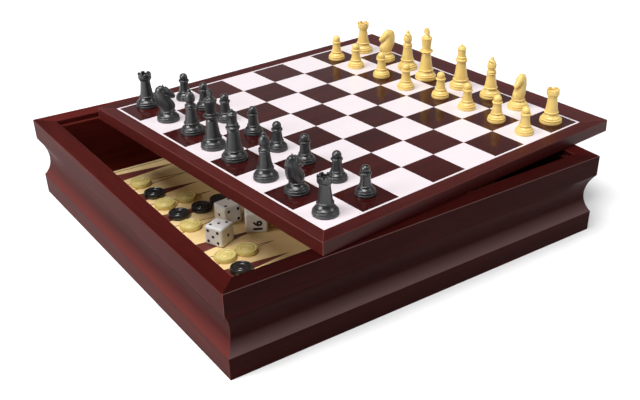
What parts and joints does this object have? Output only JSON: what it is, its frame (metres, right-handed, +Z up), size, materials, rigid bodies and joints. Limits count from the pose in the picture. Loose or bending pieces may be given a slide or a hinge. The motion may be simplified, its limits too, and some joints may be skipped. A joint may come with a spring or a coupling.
{
  "type": "games compendium box",
  "caption": "Moulded wooden games box with a chessboard lid set askew, chessmen on it, and backgammon inside.",
  "frame": {"origin": "centre of the box's underside, on the surface it stands on", "axes": "+Z up, +X along the front rail to the right, +Y from the front rail to the back rail"},
  "size_m": [0.4262, 0.37, 0.1414],
  "materials": {
    "cherry_stained_wood": "satin lacquer",
    "beech": "raw",
    "plywood": "raw",
    "baize": "matt",
    "maple_veneer": "satin",
    "red_brown_inlay": "satin",
    "white_veneer": "gloss",
    "dark_veneer": "gloss",
    "white_plastic": "gloss",
    "cream_resin": "satin",
    "black_resin": "satin"
  },
  "bodies": {
    "box": {"rail_front": "cherry_stained_wood", "rail_right": "cherry_stained_wood", "rail_back": "cherry_stained_wood", "rail_left": "cherry_stained_wood", "corner_splines": "beech", "bottom_panel": "plywood", "base_baize": "baize", "field_board": "maple_veneer", "points_filled": "red_brown_inlay", "points_outlined": "red_brown_inlay", "field_border_line": "red_brown_inlay"},
    "lid": {"lid_core": "plywood", "lid_border_front": "cherry_stained_wood", "lid_border_right": "cherry_stained_wood", "lid_border_back": "cherry_stained_wood", "lid_border_left": "cherry_stained_wood", "lid_white_line": "white_veneer", "light_squares": "white_veneer", "dark_squares": "dark_veneer"},
    "black_rook_front": {"black_rook_front": "black_resin"},
    "black_knight_front": {"black_knight_front": "black_resin"},
    "black_bishop_front": {"black_bishop_front": "black_resin"},
    "black_queen": {"black_queen": "black_resin"},
    "black_king": {"black_king": "black_resin"},
    "black_bishop_back": {"black_bishop_back": "black_resin"},
    "black_knight_back": {"black_knight_back": "black_resin"},
    "black_rook_back": {"black_rook_back": "black_resin"},
    "black_pawn_1": {"black_pawn_1": "black_resin"},
    "black_pawn_2": {"black_pawn_2": "black_resin"},
    "black_pawn_3": {"black_pawn_3": "black_resin"},
    "black_pawn_4": {"black_pawn_4": "black_resin"},
    "black_pawn_5": {"black_pawn_5": "black_resin"},
    "black_pawn_6": {"black_pawn_6": "black_resin"},
    "black_pawn_7": {"black_pawn_7": "black_resin"},
    "black_pawn_8": {"black_pawn_8": "black_resin"},
    "cream_rook_front": {"cream_rook_front": "cream_resin"},
    "cream_knight_front": {"cream_knight_front": "cream_resin"},
    "cream_bishop_front": {"cream_bishop_front": "cream_resin"},
    "cream_queen": {"cream_queen": "cream_resin"},
    "cream_king": {"cream_king": "cream_resin"},
    "cream_bishop_back": {"cream_bishop_back": "cream_resin"},
    "cream_knight_back": {"cream_knight_back": "cream_resin"},
    "cream_rook_back": {"cream_rook_back": "cream_resin"},
    "cream_pawn_1": {"cream_pawn_1": "cream_resin"},
    "cream_pawn_2": {"cream_pawn_2": "cream_resin"},
    "cream_pawn_3": {"cream_pawn_3": "cream_resin"},
    "cream_pawn_4": {"cream_pawn_4": "cream_resin"},
    "cream_pawn_5": {"cream_pawn_5": "cream_resin"},
    "cream_pawn_6": {"cream_pawn_6": "cream_resin"},
    "cream_pawn_7": {"cream_pawn_7": "cream_resin"},
    "cream_pawn_8": {"cream_pawn_8": "cream_resin"},
    "die_front": {"die_front": "white_plastic"},
    "die_back": {"die_back": "white_plastic"},
    "doubling_cube": {"doubling_cube": "white_plastic"},
    "cream_draughts": {"cream_draughts": "cream_resin"},
    "black_draughts": {"black_draughts": "black_resin"}
  },
  "joints": [
    {"name": "board_lift", "type": "slide", "parent": "box", "child": "lid", "axis": [0, 0, 1], "range_m": [0, 0.12]},
    {"name": "die_back_lift", "type": "slide", "parent": "box", "child": "die_back", "axis": [0, 0, 1], "range_m": [0, 0.04]},
    {"name": "die_front_lift", "type": "slide", "parent": "box", "child": "die_front", "axis": [0, 0, 1], "range_m": [0, 0.04]},
    {"name": "doubling_cube_lift", "type": "slide", "parent": "box", "child": "doubling_cube", "axis": [0, 0, 1], "range_m": [0, 0.04]},
    {"name": "draughts_black_lift", "type": "slide", "parent": "box", "child": "black_draughts", "axis": [0, 0, 1], "range_m": [0, 0.04]},
    {"name": "draughts_cream_lift", "type": "slide", "parent": "box", "child": "cream_draughts", "axis": [0, 0, 1], "range_m": [0, 0.04]},
    {"name": "man_black_rook_front_lift", "type": "slide", "parent": "lid", "child": "black_rook_front", "axis": [0, 0, 1], "range_m": [0, 0.06]},
    {"name": "man_black_knight_front_lift", "type": "slide", "parent": "lid", "child": "black_knight_front", "axis": [0, 0, 1], "range_m": [0, 0.06]},
    {"name": "man_black_bishop_front_lift", "type": "slide", "parent": "lid", "child": "black_bishop_front", "axis": [0, 0, 1], "range_m": [0, 0.06]},
    {"name": "man_black_queen_lift", "type": "slide", "parent": "lid", "child": "black_queen", "axis": [0, 0, 1], "range_m": [0, 0.06]},
    {"name": "man_black_king_lift", "type": "slide", "parent": "lid", "child": "black_king", "axis": [0, 0, 1], "range_m": [0, 0.06]},
    {"name": "man_black_bishop_back_lift", "type": "slide", "parent": "lid", "child": "black_bishop_back", "axis": [0, 0, 1], "range_m": [0, 0.06]},
    {"name": "man_black_knight_back_lift", "type": "slide", "parent": "lid", "child": "black_knight_back", "axis": [0, 0, 1], "range_m": [0, 0.06]},
    {"name": "man_black_rook_back_lift", "type": "slide", "parent": "lid", "child": "black_rook_back", "axis": [0, 0, 1], "range_m": [0, 0.06]},
    {"name": "man_black_pawn_1_lift", "type": "slide", "parent": "lid", "child": "black_pawn_1", "axis": [0, 0, 1], "range_m": [0, 0.06]},
    {"name": "man_black_pawn_2_lift", "type": "slide", "parent": "lid", "child": "black_pawn_2", "axis": [0, 0, 1], "range_m": [0, 0.06]},
    {"name": "man_black_pawn_3_lift", "type": "slide", "parent": "lid", "child": "black_pawn_3", "axis": [0, 0, 1], "range_m": [0, 0.06]},
    {"name": "man_black_pawn_4_lift", "type": "slide", "parent": "lid", "child": "black_pawn_4", "axis": [0, 0, 1], "range_m": [0, 0.06]},
    {"name": "man_black_pawn_5_lift", "type": "slide", "parent": "lid", "child": "black_pawn_5", "axis": [0, 0, 1], "range_m": [0, 0.06]},
    {"name": "man_black_pawn_6_lift", "type": "slide", "parent": "lid", "child": "black_pawn_6", "axis": [0, 0, 1], "range_m": [0, 0.06]},
    {"name": "man_black_pawn_7_lift", "type": "slide", "parent": "lid", "child": "black_pawn_7", "axis": [0, 0, 1], "range_m": [0, 0.06]},
    {"name": "man_black_pawn_8_lift", "type": "slide", "parent": "lid", "child": "black_pawn_8", "axis": [0, 0, 1], "range_m": [0, 0.06]},
    {"name": "man_cream_rook_front_lift", "type": "slide", "parent": "lid", "child": "cream_rook_front", "axis": [0, 0, 1], "range_m": [0, 0.06]},
    {"name": "man_cream_knight_front_lift", "type": "slide", "parent": "lid", "child": "cream_knight_front", "axis": [0, 0, 1], "range_m": [0, 0.06]},
    {"name": "man_cream_bishop_front_lift", "type": "slide", "parent": "lid", "child": "cream_bishop_front", "axis": [0, 0, 1], "range_m": [0, 0.06]},
    {"name": "man_cream_queen_lift", "type": "slide", "parent": "lid", "child": "cream_queen", "axis": [0, 0, 1], "range_m": [0, 0.06]},
    {"name": "man_cream_king_lift", "type": "slide", "parent": "lid", "child": "cream_king", "axis": [0, 0, 1], "range_m": [0, 0.06]},
    {"name": "man_cream_bishop_back_lift", "type": "slide", "parent": "lid", "child": "cream_bishop_back", "axis": [0, 0, 1], "range_m": [0, 0.06]},
    {"name": "man_cream_knight_back_lift", "type": "slide", "parent": "lid", "child": "cream_knight_back", "axis": [0, 0, 1], "range_m": [0, 0.06]},
    {"name": "man_cream_rook_back_lift", "type": "slide", "parent": "lid", "child": "cream_rook_back", "axis": [0, 0, 1], "range_m": [0, 0.06]},
    {"name": "man_cream_pawn_1_lift", "type": "slide", "parent": "lid", "child": "cream_pawn_1", "axis": [0, 0, 1], "range_m": [0, 0.06]},
    {"name": "man_cream_pawn_2_lift", "type": "slide", "parent": "lid", "child": "cream_pawn_2", "axis": [0, 0, 1], "range_m": [0, 0.06]},
    {"name": "man_cream_pawn_3_lift", "type": "slide", "parent": "lid", "child": "cream_pawn_3", "axis": [0, 0, 1], "range_m": [0, 0.06]},
    {"name": "man_cream_pawn_4_lift", "type": "slide", "parent": "lid", "child": "cream_pawn_4", "axis": [0, 0, 1], "range_m": [0, 0.06]},
    {"name": "man_cream_pawn_5_lift", "type": "slide", "parent": "lid", "child": "cream_pawn_5", "axis": [0, 0, 1], "range_m": [0, 0.06]},
    {"name": "man_cream_pawn_6_lift", "type": "slide", "parent": "lid", "child": "cream_pawn_6", "axis": [0, 0, 1], "range_m": [0, 0.06]},
    {"name": "man_cream_pawn_7_lift", "type": "slide", "parent": "lid", "child": "cream_pawn_7", "axis": [0, 0, 1], "range_m": [0, 0.06]},
    {"name": "man_cream_pawn_8_lift", "type": "slide", "parent": "lid", "child": "cream_pawn_8", "axis": [0, 0, 1], "range_m": [0, 0.06]}
  ]
}
